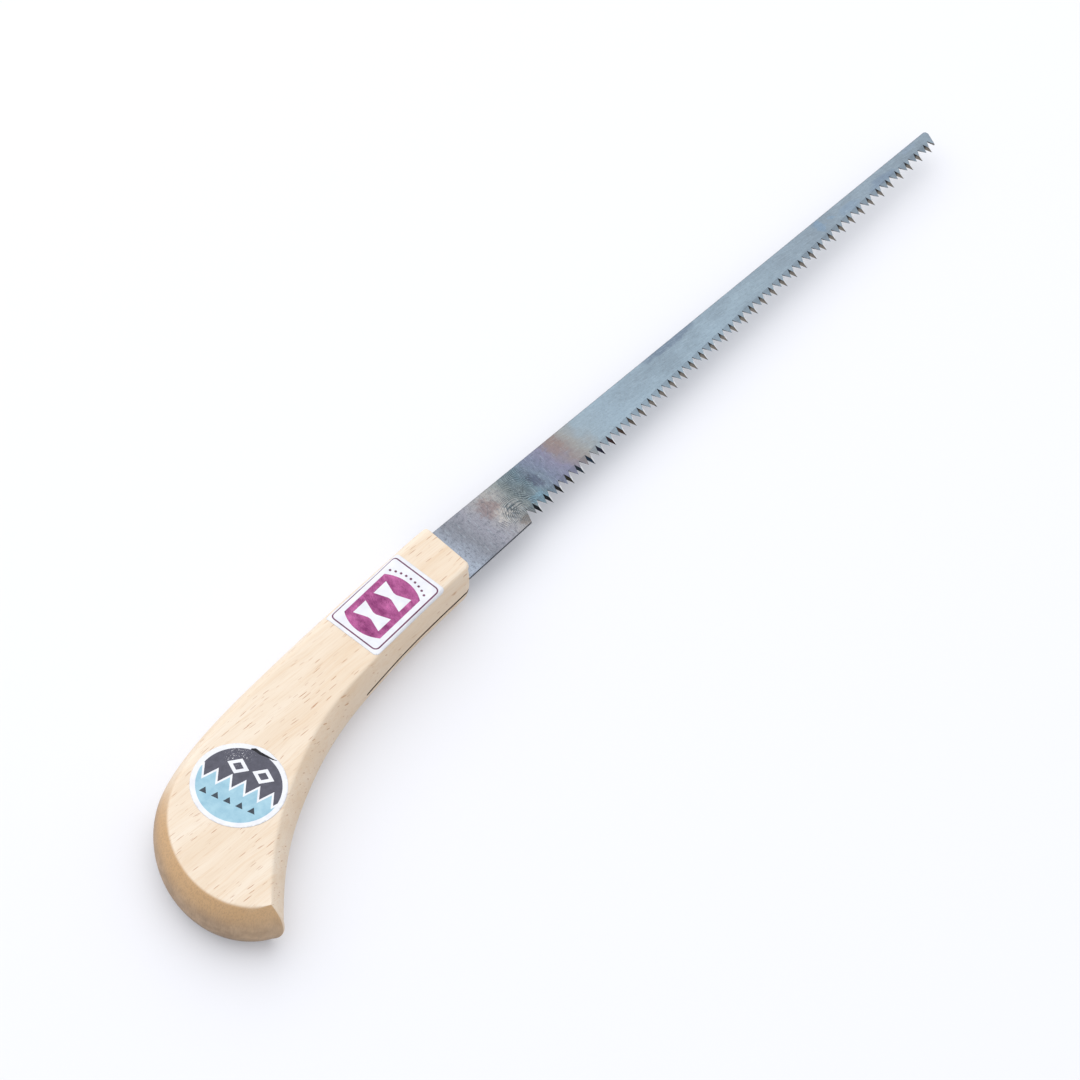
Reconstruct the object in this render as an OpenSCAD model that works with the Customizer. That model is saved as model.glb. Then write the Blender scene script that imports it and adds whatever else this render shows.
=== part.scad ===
// Pull saw: a narrow toothed blade held in the kerf of a one-piece pistol-grip handle.
// It is drawn with X from the handle's front face towards the blade's tip, Y from the teeth
// towards the spine, and Z through the saw's thickness. The saw lies on one flat face of its
// handle. on_origin() then moves the whole saw so that its box stands centred on the origin.

/* [Handle] */
// Distance between the handle's two flat faces
handle_t = 20; // [18:0.5:24]
// How far the rounded sides swell past the edges of the flat faces
side_swell = 4.1; // [2:0.1:5]
// How much further the pointed nose of the butt reaches than a plain round corner, as a share
nose_reach = 0.3; // [0:0.05:0.4]
// Chamfer on the front face's upper and lower edges
front_chamfer = 1.2; // [0.5:0.1:2]

/* [Blade] */
// Thickness of the steel plate
blade_t = 0.9; // [0.7:0.05:1.1]
// Distance from the handle's front face to the end of the blade
blade_reach = 243.9; // [243:0.1:250]
// Height of the shank where it leaves the handle
shank_h = 20.2; // [19:0.1:21]
// Height of the shank at the heel, where the teeth begin
heel_h = 18.8; // [18.5:0.1:19]
// Length of the tang inside the handle
tang_len = 47; // [42:1:48]
// Width of the kerf that holds the tang
kerf_w = 1.0; // [0.95:0.01:1.3]
// Depth of the kerf, from the handle's front face
kerf_len = 53; // [49:1:56]

/* [Teeth] */
// Number of teeth
tooth_count = 81; // [60:1:81]
// Distance from one tooth to the next
tooth_pitch = 2.5965; // [2.5:0.0005:2.5965]
// Distance from the handle's front face to the bottom of the first gullet
first_gullet_x = 32.95; // [32.5:0.05:33.5]
// Angle by which every flank is filed across the plate, to one side and then the other
fleam = 32; // [10:1:38]

/* [Pins] */
// Diameter of the two nails that hold the tang
pin_d = 2.0; // [1.6:0.1:2.4]
// Length of each nail, head included
pin_len = 16.5; // [14:0.5:17]
// Diameter of a nail's head
pin_head_d = 3.6; // [3:0.1:4.5]

/* [Labels] */
// Thickness of the paper labels
label_t = 0.12; // [0.08:0.01:0.3]
// Length of the maker's label
maker_len = 32; // [24:1:36]
// Width of the maker's label, before the flat face's edges trim it
maker_w = 20; // [14:1:24]
// Diameter of the round label on the butt
round_d = 30; // [20:1:32]

/* [Hidden] */

fine = 64;
mid_z = handle_t / 2;
beyond = 1;

// The handle's outline halfway through its thickness, as a chain of Bezier joints. Each one is
// [x, y, heading in degrees, reach of its curve backwards, reach forwards]. The chain runs from the
// front face back along the spine side and round the butt, to the nose, and then forward again
// along the tooth side. On the flat faces the nose is a small round about nose_centre.
nose_centre = [-132, -64.1];
nose_r = 0.5;
nose_swell = nose_r + side_swell;
butt_heading = 332.5;
grip_heading = 45.5;
spine_joints = [
    [0, 1.3, 181, 0, 28],
    [-83, -2.8, 185, 28, 15],
    [-124.7, -10.9, 202.5, 12, 13.5],
    [-147.4, -44, 268.5, 14.5, 11],
    [nose_centre.x + nose_swell * sin(butt_heading), nose_centre.y - nose_swell * cos(butt_heading),
        butt_heading, 9, 0]
];
tooth_side_joints = [
    [nose_centre.x + nose_swell * sin(grip_heading), nose_centre.y - nose_swell * cos(grip_heading),
        grip_heading, 0, 19.5],
    [-86, -38, 23.8, 20, 20],
    [-39.6, -26.3, 8, 15, 15],
    [0, -22.9, 4, 10, 0]
];
curve_steps = 9;
nose_steps = 8;
side_levels = 8;

// The sides are arcs from one flat face to the other.
side_r = (mid_z * mid_z + side_swell * side_swell) / (2 * side_swell);
inner_angle = asin((mid_z - front_chamfer) / side_r);

// The teeth: two straight lines, one through the tips and one through the gullets.
tip_line = [[35, -17.5], [242, -6.15]];
gullet_line = [[36.6, -13.65], [239, -3.15]];
end_edge = [[blade_reach - 0.9, 0], [blade_reach - 0.25, -0.4], [blade_reach, -1.4]];
end_slope = 0.4;
end_low_y = -6.7;
overcut = 1.5;
heel_x = 31;
heel_step = 1;
file_len = 6;
tang_corner = 5;
tang_shoulder = 5;
tang_drop = 5;

pin_spots = [[-22, -11.5], [-38, -14]];
pin_top = handle_t - 0.05;
pin_head_t = 0.8;
pin_point_len = 2.5;
pin_point_d = 0.4;
wood_fit = 0.01;
tang_fit = 0.1;

maker_spot = [-30.9, -12.9];
maker_turn = 4.8;
maker_corner = 2;
round_spot = [-109.8, -28.2];

// Height of a line through two points at a given x
function line_y(ends, x) =
    ends[0].y + (ends[1].y - ends[0].y) * (x - ends[0].x) / (ends[1].x - ends[0].x);

// A Bezier curve's point and its heading, at t from 0 to 1 between two joints
function heading(a) = [cos(a), sin(a)];
function start_of(joint) = [joint[0], joint[1]];
function bezier(a, b, c, d, t) =
    pow(1 - t, 3) * a + 3 * pow(1 - t, 2) * t * b + 3 * (1 - t) * t * t * c + pow(t, 3) * d;
function bezier_run(a, b, c, d, t) =
    (1 - t) * (1 - t) * (b - a) + 2 * (1 - t) * t * (c - b) + t * t * (d - c);
function right_of(run) = [run.y, -run.x] / norm(run);
function leg_controls(p, q) = [
    start_of(p),
    start_of(p) + p[4] * heading(p[2]),
    start_of(q) - q[3] * heading(q[2]),
    start_of(q)
];
function leg_point(c, t) = [bezier(c[0], c[1], c[2], c[3], t), right_of(bezier_run(c[0], c[1], c[2], c[3], t))];

// The outline as [point, outward direction, share of the swell] for every point
function chain(joints) = [
    for (i = [0 : len(joints) - 2])
        let (controls = leg_controls(joints[i], joints[i + 1]))
        for (k = [0 : curve_steps - 1])
            concat(leg_point(controls, k / curve_steps), 1)
];
function squared(row, side) = [row[0], [0, side], 1];
function nose_row(k) =
    let (
        share = k / nose_steps,
        turn = butt_heading - 90 + share * (grip_heading + 360 - butt_heading),
        reach = 1 + nose_reach * pow(sin(180 * share), 4)
    )
    [nose_centre + (nose_r + side_swell * reach) * heading(turn), heading(turn), reach];
spine_rows = chain(spine_joints);
tooth_rows = chain(tooth_side_joints);
outline = concat(
    [squared(spine_rows[0], 1)],
    [for (i = [1 : len(spine_rows) - 1]) spine_rows[i]],
    [for (k = [0 : nose_steps]) nose_row(k)],
    [for (i = [1 : len(tooth_rows) - 1]) tooth_rows[i]],
    [[start_of(tooth_side_joints[len(tooth_side_joints) - 1]), [0, -1], 1]]
);
count = len(outline);

// The solid is stacked from level 0 on the lower flat face to the last level on the upper one. The
// levels next to the flat faces are where the front face's chamfers begin.
function level_z(k) =
    k == 0 ? 0 :
    k == side_levels ? handle_t :
    mid_z + side_r * sin(inner_angle * (2 * (k - 1) / (side_levels - 2) - 1));
function inset(z) = side_r - sqrt(side_r * side_r - (z - mid_z) * (z - mid_z));
function front_x(z) = -max(0, front_chamfer - z, front_chamfer - handle_t + z);
function row_at(row, k) =
    let (p = row[0] - row[1] * inset(level_z(k)) * row[2])
    [min(p.x, front_x(level_z(k))), p.y];
function lift(p, z) = [p.x, p.y, z];

// The whole saw's box in plan, and the step from the drawing to the origin
outline_x = [for (row = outline) row[0].x];
outline_y = [for (row = outline) row[0].y];
plan_centre = [(min(outline_x) + blade_reach) / 2, (min(outline_y) + max(outline_y)) / 2, 0];
module on_origin() {
    translate(-plan_centre) children();
}

// A flat face as a ladder of triangles, from the front face to the nose, between the point that is i
// steps along the spine side and the point that is i steps along the tooth side
function rungs(first, upper) = [
    for (i = [0 : count / 2 - 2])
        let (a = first + i, b = a + 1, c = first + count - 2 - i, d = c + 1)
        for (tri = [[a, b, d], [b, c, d]])
            upper ? [tri[2], tri[1], tri[0]] : tri
];

module handle_solid() {
    points = [
        for (k = [0 : side_levels])
            for (row = outline)
                lift(row_at(row, k), level_z(k))
    ];
    sides = [
        for (k = [0 : side_levels - 1])
            for (i = [0 : count - 1])
                let (a = k * count + i, b = k * count + (i + 1) % count)
                [a, a + count, b + count, b]
    ];
    polyhedron(points, concat(sides, rungs(0, false), rungs(side_levels * count, true)));
}

// The kerf is open at the front and along the tooth side, and its floor slopes away from the spine
module kerf() {
    open_side = 40;
    floor_gap = 0.3;
    translate([0, 0, mid_z])
        linear_extrude(height = kerf_w, center = true)
            polygon([
                [beyond, floor_gap],
                [-tang_shoulder, floor_gap],
                [-kerf_len, floor_gap - tang_drop],
                [-kerf_len, -open_side],
                [beyond, -open_side]
            ]);
}

// A wire nail standing on its point, with its head's top at pin_top
module nail(gap) {
    shank_len = pin_len - pin_head_t - pin_point_len;
    translate([0, 0, pin_top - pin_len])
        cylinder(d1 = pin_point_d, d2 = pin_d + 2 * gap, h = pin_point_len, $fn = fine);
    translate([0, 0, pin_top - pin_len + pin_point_len])
        cylinder(d = pin_d + 2 * gap, h = shank_len + gap, $fn = fine);
    translate([0, 0, pin_top - pin_head_t])
        cylinder(d = pin_head_d + 2 * gap, h = pin_head_t + gap, $fn = fine);
}

module pin_hole(spot) {
    translate([spot.x, spot.y, 0]) {
        nail(wood_fit);
        translate([0, 0, handle_t - beyond / 2])
            cylinder(d = pin_head_d + 2 * wood_fit, h = beyond, $fn = fine);
    }
}

module handle() {
    color("burlywood")
        on_origin()
            difference() {
                handle_solid();
                kerf();
                for (spot = pin_spots) pin_hole(spot);
            }
}

module blade_outline() {
    tip_x = blade_reach - end_slope * (end_edge[2].y - end_low_y);
    polygon(concat(
        [for (p = end_edge) p],
        [
            [tip_x, end_low_y],
            [tip_x - beyond, line_y(tip_line, tip_x) - beyond / 2],
            [heel_x + heel_step, line_y(tip_line, heel_x) - beyond / 2],
            [heel_x, -heel_h],
            [0, -shank_h],
            [-tang_len + tang_corner, -shank_h],
            [-tang_len, -shank_h + tang_corner],
            [-tang_len, -tang_drop - tang_corner],
            [-tang_len + tang_corner, -tang_drop],
            [-tang_shoulder, 0]
        ]
    ));
}

// One gullet: a V-shaped cut that leans across the plate, so that its two flanks are filed at an
// angle. Its spread makes neighbouring cuts meet exactly on the line through the tips.
module gullet(i) {
    x = first_gullet_x + i * tooth_pitch;
    root_y = line_y(gullet_line, x);
    depth = root_y - line_y(tip_line, x);
    spread = (tooth_pitch + blade_t * tan(fleam)) / 2 / depth;
    run = depth * overcut;
    lean = i % 2 == 0 ? -fleam : fleam;
    translate([x, root_y, 0])
        rotate([0, lean, 0])
            linear_extrude(height = file_len, center = true)
                polygon([[0, 0], [-run * spread * cos(fleam), -run], [run * spread * cos(fleam), -run]]);
}

module blade() {
    color("slategray")
        on_origin()
            translate([0, 0, mid_z])
                difference() {
                    linear_extrude(height = blade_t, center = true)
                        difference() {
                            blade_outline();
                            for (spot = pin_spots)
                                translate(spot) circle(d = pin_d + 2 * tang_fit, $fn = fine);
                        }
                    for (i = [0 : tooth_count - 1]) gullet(i);
                }
}

module tang_pin(spot) {
    color("silver")
        on_origin()
            translate([spot.x, spot.y, 0]) nail(0);
}

// The flat face's outline, which trims the labels
module flat_face() {
    polygon([for (row = outline) row_at(row, side_levels)]);
}

module rounded_plate(length, width, corner) {
    square([length - 2 * corner, width], center = true);
    square([length, width - 2 * corner], center = true);
    for (sx = [-1, 1])
        for (sy = [-1, 1])
            translate([sx * (length / 2 - corner), sy * (width / 2 - corner)])
                circle(r = corner, $fn = fine);
}

module maker_label() {
    color("orchid")
        on_origin()
            translate([0, 0, handle_t])
                linear_extrude(height = label_t)
                    intersection() {
                        flat_face();
                        translate(maker_spot)
                            rotate(maker_turn)
                                rounded_plate(maker_len, maker_w, maker_corner);
                    }
}

module tooth_label() {
    color("skyblue")
        on_origin()
            translate([round_spot.x, round_spot.y, handle_t])
                cylinder(d = round_d, h = label_t, $fn = 2 * fine);
}

handle();
blade();
tang_pin(pin_spots[0]);  // front_pin
tang_pin(pin_spots[1]);  // rear_pin
maker_label();
tooth_label();
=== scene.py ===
"""The looks of the pull saw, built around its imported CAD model.

Every outline here is in the saw's own millimetres: X from the handle's front face towards the
blade's tip, Y from the teeth (negative) to the blade's spine at 0, and Z up from the surface it
lies on. place() and saw_coords() turn these into the row's metres.
"""

import math

import bmesh
import bpy
import numpy as np
from mathutils import Matrix, Vector
from mathutils.geometry import delaunay_2d_cdt


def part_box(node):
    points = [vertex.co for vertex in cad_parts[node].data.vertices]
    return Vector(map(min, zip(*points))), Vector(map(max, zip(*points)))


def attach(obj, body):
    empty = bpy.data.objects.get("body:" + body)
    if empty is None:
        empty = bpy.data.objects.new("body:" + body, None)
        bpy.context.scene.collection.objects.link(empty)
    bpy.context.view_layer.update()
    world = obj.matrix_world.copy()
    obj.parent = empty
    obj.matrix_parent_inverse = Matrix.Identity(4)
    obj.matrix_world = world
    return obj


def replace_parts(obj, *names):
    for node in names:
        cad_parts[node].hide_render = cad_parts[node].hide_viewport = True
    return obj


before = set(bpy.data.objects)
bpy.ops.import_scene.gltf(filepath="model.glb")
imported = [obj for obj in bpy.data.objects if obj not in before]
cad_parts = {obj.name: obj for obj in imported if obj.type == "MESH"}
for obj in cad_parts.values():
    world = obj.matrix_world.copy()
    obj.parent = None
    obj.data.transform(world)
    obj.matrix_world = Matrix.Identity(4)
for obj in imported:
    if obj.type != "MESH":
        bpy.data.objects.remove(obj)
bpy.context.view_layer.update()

MM = 0.001
HANDLE_LOW, HANDLE_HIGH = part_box("handle")
BLADE_LOW, BLADE_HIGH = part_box("blade")
ORIGIN = Vector((HANDLE_HIGH.x, BLADE_HIGH.y, HANDLE_LOW.z))
THICK = (HANDLE_HIGH.z - HANDLE_LOW.z) / MM
BLADE_T = (BLADE_HIGH.z - BLADE_LOW.z) / MM
BLADE_REACH = (BLADE_HIGH.x - HANDLE_HIGH.x) / MM
MID_Z = THICK / 2


def place(x, y, z):
    """A point given in the saw's own millimetres, in the row's metres."""
    return ORIGIN + Vector((x, y, z)) * MM


# ---------------------------------------------------------------- meshes


def make_object(name, verts, faces, materials, face_materials=None, smooth_angle=None):
    """A closed mesh piece from millimetre points, riding on the saw's one body."""
    mesh = bpy.data.meshes.new(name)
    mesh.from_pydata([place(*v) for v in verts], [], faces)
    for material in materials:
        mesh.materials.append(material)
    if face_materials is not None:
        mesh.polygons.foreach_set("material_index", face_materials)
    work = bmesh.new()
    work.from_mesh(mesh)
    bmesh.ops.recalc_face_normals(work, faces=work.faces)
    work.to_mesh(mesh)
    work.free()
    if smooth_angle is not None:
        mesh.shade_smooth()
        mesh.set_sharp_from_angle(angle=math.radians(smooth_angle))
    obj = bpy.data.objects.new(name, mesh)
    bpy.context.scene.collection.objects.link(obj)
    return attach(obj, "root")


def apply_modifier(obj, kind, **settings):
    """Add one modifier and bake its result into the piece's mesh."""
    modifier = obj.modifiers.new(kind.title(), kind)
    for key, value in settings.items():
        setattr(modifier, key, value)
    graph = bpy.context.evaluated_depsgraph_get()
    mesh = bpy.data.meshes.new_from_object(obj.evaluated_get(graph))
    obj.modifiers.clear()
    obj.data = mesh


# ---------------------------------------------------------------- shader nodes


class Shader:
    """Short calls for building one material's nodes."""

    def __init__(self, name):
        self.material = bpy.data.materials.new(name)
        self.material.use_nodes = True
        self.tree = self.material.node_tree
        self.surface = self.tree.nodes["Principled BSDF"]

    def node(self, kind, inputs=None, **settings):
        made = self.tree.nodes.new(kind)
        for key, value in settings.items():
            setattr(made, key, value)
        for key, value in (inputs or {}).items():
            self.feed(made.inputs[key], value)
        return made

    def feed(self, socket, value):
        if isinstance(value, bpy.types.NodeSocket):
            self.tree.links.new(value, socket)
        else:
            socket.default_value = value

    def set(self, **values):
        for key, value in values.items():
            self.feed(self.surface.inputs[key.replace("_", " ")], value)

    def math(self, operation, a, b=0.0, c=0.0):
        made = self.node("ShaderNodeMath", {0: a, 1: b, 2: c}, operation=operation)
        return made.outputs[0]

    def vector(self, operation, a, b=(0, 0, 0)):
        made = self.node("ShaderNodeVectorMath", {0: a, 1: b}, operation=operation)
        return made.outputs["Value" if operation in ("LENGTH", "DOT_PRODUCT", "DISTANCE") else "Vector"]

    def saw_coords(self):
        """The saw's own millimetres at the shaded point."""
        point = self.node("ShaderNodeTexCoord").outputs["Object"]
        from_origin = self.vector("SUBTRACT", point, tuple(ORIGIN))
        return self.vector("MULTIPLY", from_origin, (1 / MM,) * 3)

    def split(self, vector):
        made = self.node("ShaderNodeSeparateXYZ", {0: vector})
        return made.outputs[0], made.outputs[1], made.outputs[2]

    def noise(self, vector, scale=(1, 1, 1), detail=3.0, rough=0.5, shift=(0, 0, 0), color=False):
        scaled = self.vector("MULTIPLY", vector, scale)
        shifted = self.vector("ADD", scaled, shift)
        made = self.node(
            "ShaderNodeTexNoise", {"Vector": shifted, "Scale": 1.0, "Detail": detail, "Roughness": rough}
        )
        return made.outputs["Color" if color else "Fac"]

    def step(self, value, low, high):
        """0 below low and 1 above high, smooth between; low above high turns it round."""
        made = self.node(
            "ShaderNodeMapRange",
            {"Value": value, "From Min": low, "From Max": high},
            interpolation_type="SMOOTHSTEP",
        )
        return made.outputs["Result"]

    def mix(self, factor, a, b):
        made = self.node("ShaderNodeMix", data_type="RGBA")
        self.feed(made.inputs[0], factor)
        self.feed(made.inputs[6], a)
        self.feed(made.inputs[7], b)
        return made.outputs[2]

    def ramp(self, value, stops):
        made = self.node("ShaderNodeValToRGB", {0: value})
        elements = made.color_ramp.elements
        while len(elements) < len(stops):
            elements.new(0.5)
        for element, (at, color) in zip(elements, stops):
            element.position = at
            element.color = color
        return made.outputs["Color"]

    def spot(self, coords, centre, radii, soft=0.5):
        """1 inside an ellipse of the blade's or label's plane, fading to 0 past its edge."""
        away = self.vector("SUBTRACT", coords, (centre[0], centre[1], 0))
        scaled = self.vector("MULTIPLY", away, (1 / radii[0], 1 / radii[1], 0))
        return self.step(self.vector("LENGTH", scaled), 1 + soft / 2, 1 - soft / 2)

    def bump(self, height, strength, distance_mm):
        inputs = {"Height": height, "Strength": strength, "Distance": distance_mm * MM}
        return self.node("ShaderNodeBump", inputs).outputs["Normal"]


def rgb(red, green, blue):
    """A colour as its screen values from 0 to 255, turned into linear light."""
    linear = []
    for value in (red, green, blue):
        share = value / 255
        linear.append(share / 12.92 if share <= 0.04045 else ((share + 0.055) / 1.055) ** 2.4)
    return (*linear, 1.0)


# ---------------------------------------------------------------- materials


def beech():
    """Bare sanded beech: cream wood, fine streaks and short dark ray flecks, all along X. The butt's
    end, the nose and the tooth side carry painted shade.
    """
    s = Shader("beech")
    at = s.saw_coords()
    _, _, z = s.split(at)

    wander = s.noise(at, (0.03, 0.12, 0.12), 2.0, color=True)
    sway = s.vector("MULTIPLY", s.vector("SUBTRACT", wander, (0.5, 0.5, 0.5)), (0, 4.0, 2.5))
    grain_at = s.vector("ADD", at, sway)

    broad = s.noise(grain_at, (0.012, 0.16, 0.12), 2.0)
    streak = s.noise(grain_at, (0.03, 1.1, 0.6), 4.0, 0.6, (7, 3, 1))
    thread = s.noise(grain_at, (0.12, 4.5, 3.0), 2.0, 0.5, (1, 9, 4))

    cream = s.ramp(
        broad,
        [(0.30, rgb(223, 204, 180)), (0.52, rgb(228, 212, 191)), (0.72, rgb(231, 218, 200))],
    )
    color = s.mix(s.math("MULTIPLY", s.step(streak, 0.48, 0.70), 0.32), cream, rgb(216, 184, 146))
    color = s.mix(s.math("MULTIPLY", s.step(thread, 0.5, 0.72), 0.28), color, rgb(201, 166, 128))

    flecks = None
    for length, width, height, fewest, reach, shift in (
        (9.0, 0.56, 2.4, 0.10, 0.24, (0, 0, 0)),
        (6.5, 0.46, 2.0, 0.15, 0.26, (3.3, 5.1, 2.2)),
    ):
        scaled = s.vector("MULTIPLY", grain_at, (1 / length, 1 / width, 1 / height))
        cells = s.node("ShaderNodeTexVoronoi", {"Vector": s.vector("ADD", scaled, shift), "Scale": 1.0})
        chance, depth, _ = s.split(cells.outputs["Color"])
        size = s.math("MULTIPLY", s.step(chance, fewest, 1.1), reach)
        inside = s.math("SUBTRACT", size, cells.outputs["Distance"])
        mark = s.math("MULTIPLY", s.step(inside, -0.01, 0.05), s.math("MULTIPLY_ADD", depth, 0.6, 0.4))
        flecks = mark if flecks is None else s.math("MAXIMUM", flecks, mark)

    facing = s.node("ShaderNodeTexCoord").outputs["Normal"]
    along, across, _ = s.split(facing)
    backward = s.math("MULTIPLY", along, -1.0)
    toothward = s.math("MULTIPLY", across, -1.0)
    # The butt's backward-facing end and the nose take the end-grain colour: real end grain, and painted
    # shade where they face away from the light.
    nose = s.math("MULTIPLY", s.step(toothward, 0.3, 0.6), s.step(backward, -0.05, 0.2))
    end_grain_and_shade = s.math("MAXIMUM", s.step(backward, 0.12, 0.62), nose)
    front_end = s.step(along, 0.80, 0.98)
    flecks = s.math("MULTIPLY", flecks, s.math("MULTIPLY_ADD", end_grain_and_shade, -0.7, 1.0))
    color = s.mix(s.math("MULTIPLY", flecks, 0.8), color, rgb(166, 106, 58))

    pores = s.noise(at, (2.6, 2.6, 0.30), 3.0, 0.65, (4, 4, 4))
    mottle = s.noise(at, (0.25, 0.25, 0.3), 3.0, 0.6, (1, 5, 3))
    # The end grain's lower tone is painted shade of the underside, and below about 8 mm it darkens
    # further into a painted contact shadow; the lighter upper tone is burnish.
    worn = s.ramp(mottle, [(0.3, rgb(140, 112, 84)), (0.7, rgb(180, 150, 118))])
    burnish_and_shade = s.mix(s.step(z, 11.0, 18.0), worn, rgb(196, 156, 108))
    burnish_and_shade = s.mix(s.math("MULTIPLY", s.step(z, 8.5, 3.0), 0.6), burnish_and_shade, rgb(78, 62, 48))
    end_and_shade_color = s.mix(s.math("MULTIPLY", s.step(pores, 0.42, 0.66), 0.32), burnish_and_shade, rgb(124, 96, 68))
    ends = s.math("MAXIMUM", s.math("MULTIPLY", end_grain_and_shade, 0.9), s.math("MULTIPLY", front_end, 0.5))
    color = s.mix(ends, color, end_and_shade_color)

    # The tooth-facing side gets a warmer, darker tone: painted shade.
    side = s.math("MULTIPLY", s.step(toothward, 0.35, 0.9), 0.26)
    color = s.mix(side, color, rgb(222, 190, 152))
    height = s.math("SUBTRACT", s.math("MULTIPLY", thread, 0.35), s.math("MULTIPLY", flecks, 0.8))
    s.set(
        Base_Color=color,
        Roughness=s.math("MULTIPLY_ADD", streak, 0.12, 0.50),
        Normal=s.bump(height, 0.35, 0.06),
    )
    s.surface.inputs["Specular IOR Level"].default_value = 0.4
    return s.material


def kerf_wood():
    """The saw-cut walls of the kerf: dark brown to near black, and rough."""
    s = Shader("kerf_wood")
    at = s.saw_coords()
    fibre = s.noise(at, (0.4, 0.4, 6.0), 3.0)
    s.set(
        Base_Color=s.ramp(fibre, [(0.3, rgb(34, 20, 12)), (0.7, rgb(64, 40, 24))]),
        Roughness=0.85,
        Normal=s.bump(fibre, 0.5, 0.1),
    )
    return s.material


def blade_plate(name="blade_plate", shade=0.0):
    """Ground spring steel with temper tints near the heel, finger marks and later stains. The teeth bent
    up take the same steel, darker by a share of painted shade."""
    s = Shader(name)
    at = s.saw_coords()
    x, y, _ = s.split(at)
    warp = s.noise(at, (0.16, 0.16, 0), 3.0, 0.55)
    tilt = s.math("MULTIPLY_ADD", y, 0.18, s.math("MULTIPLY_ADD", warp, 9.0, -4.5))
    along = s.math("DIVIDE", s.math("ADD", x, tilt), 80.0)
    tint = s.ramp(
        along,
        [
            (0.02, rgb(138, 146, 158)),
            (0.13, rgb(112, 114, 121)),
            (0.22, rgb(128, 128, 136)),
            (0.33, rgb(142, 140, 138)),
            (0.42, rgb(114, 121, 120)),
            (0.50, rgb(96, 113, 122)),
            (0.58, rgb(104, 110, 128)),
            (0.66, rgb(113, 112, 130)),
            (0.72, rgb(121, 113, 113)),
            (0.78, rgb(128, 128, 126)),
            (0.86, rgb(126, 140, 149)),
            (1.0, rgb(128, 144, 155)),
        ],
    )
    cloud = s.noise(at, (0.05, 0.12, 0), 4.0, 0.6, (5, 2, 0))
    far = s.mix(s.step(cloud, 0.35, 0.7), rgb(130, 146, 157), rgb(115, 129, 139))
    color = s.mix(s.step(x, 68.0, 100.0), tint, far)
    fade = s.step(x, 115.0, 200.0)
    color = s.mix(s.math("MULTIPLY", fade, 0.35), color, rgb(115, 122, 130))

    wobble = s.noise(at, (0.35, 0.5, 0), 4.0, 0.6, (9, 1, 0), color=True)
    patches, _, _ = s.split(wobble)
    shove = s.vector("MULTIPLY", s.vector("SUBTRACT", wobble, (0.5, 0.5, 0.5)), (9.0, 3.2, 0))
    stain_at = s.vector("ADD", at, shove)
    stains = (
        ((24.5, -5.8), (3.4, 4.2), rgb(112, 92, 90), 0.62),
        ((39.0, -14.0), (3.4, 2.6), rgb(104, 138, 156), 0.55),
        ((57.5, -3.0), (3.2, 4.0), rgb(122, 106, 100), 0.6),
        ((43.5, -8.5), (1.6, 3.2), rgb(70, 74, 92), 0.7),
        ((31.5, -17.0), (3.0, 1.8), rgb(92, 80, 72), 0.6),
        ((26.5, -11.0), (2.6, 3.4), rgb(170, 166, 160), 0.6),
        ((115.0, -0.6), (11.5, 1.7), rgb(92, 104, 120), 0.7),
        ((187.2, -2.6), (1.7, 2.6), rgb(108, 128, 147), 0.75),
        ((192.2, -2.7), (0.7, 0.7), rgb(112, 132, 150), 0.7),
        ((200.0, -4.0), (4.6, 1.8), rgb(114, 131, 148), 0.6),
        ((217.5, -3.8), (6.0, 1.5), rgb(104, 119, 136), 0.7),
        ((234.0, -1.2), (4.0, 0.9), rgb(122, 136, 150), 0.6),
        ((150.0, -4.5), (12.0, 3.0), rgb(134, 150, 160), 0.5),
    )
    for centre, radii, stain, strength in stains:
        mask = s.math("MULTIPLY", s.spot(stain_at, centre, radii, 0.7), strength)
        color = s.mix(mask, color, stain)

    bend = s.noise(at, (0.13, 0.13, 0), 1.0, 0.5, (2, 8, 0), color=True)
    drift = s.vector("MULTIPLY", s.vector("SUBTRACT", bend, (0.5, 0.5, 0.5)), (5.0, 5.0, 0))
    finger_at = s.vector("ADD", s.vector("MULTIPLY", at, (1, 1, 0)), drift)
    print_line = None
    for centre, middle, radii in (
        ((31.0, -21.5), (33.5, -11.5), (6.4, 6.2)),
        ((47.0, -2.0), (38.5, -5.0), (5.5, 5.2)),
        ((21.0, -1.0), (28.5, -12.5), (3.0, 3.6)),
    ):
        away = s.vector("DISTANCE", finger_at, (centre[0], centre[1], 0))
        wave = s.math("SINE", s.math("MULTIPLY", away, 2 * math.pi / 0.62))
        ridge = s.math("MULTIPLY", s.step(wave, -0.3, 0.7), s.spot(at, middle, radii, 0.7))
        print_line = ridge if print_line is None else s.math("MAXIMUM", print_line, ridge)
    patchy = s.math("MULTIPLY_ADD", s.step(patches, 0.35, 0.6), 0.5, 0.42)
    color = s.mix(s.math("MULTIPLY", print_line, patchy), color, rgb(48, 58, 64))

    tick_x = s.math("MULTIPLY_ADD", y, 0.25, x)
    tick = s.step(s.math("SINE", s.math("MULTIPLY", tick_x, 8.2)), 0.55, 0.9)
    ticks = s.math("MULTIPLY", tick, s.spot(at, (23.9, -13.6), (1.7, 1.3), 0.3))
    color = s.mix(s.math("MULTIPLY", ticks, 0.75), color, rgb(60, 58, 60))

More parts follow.
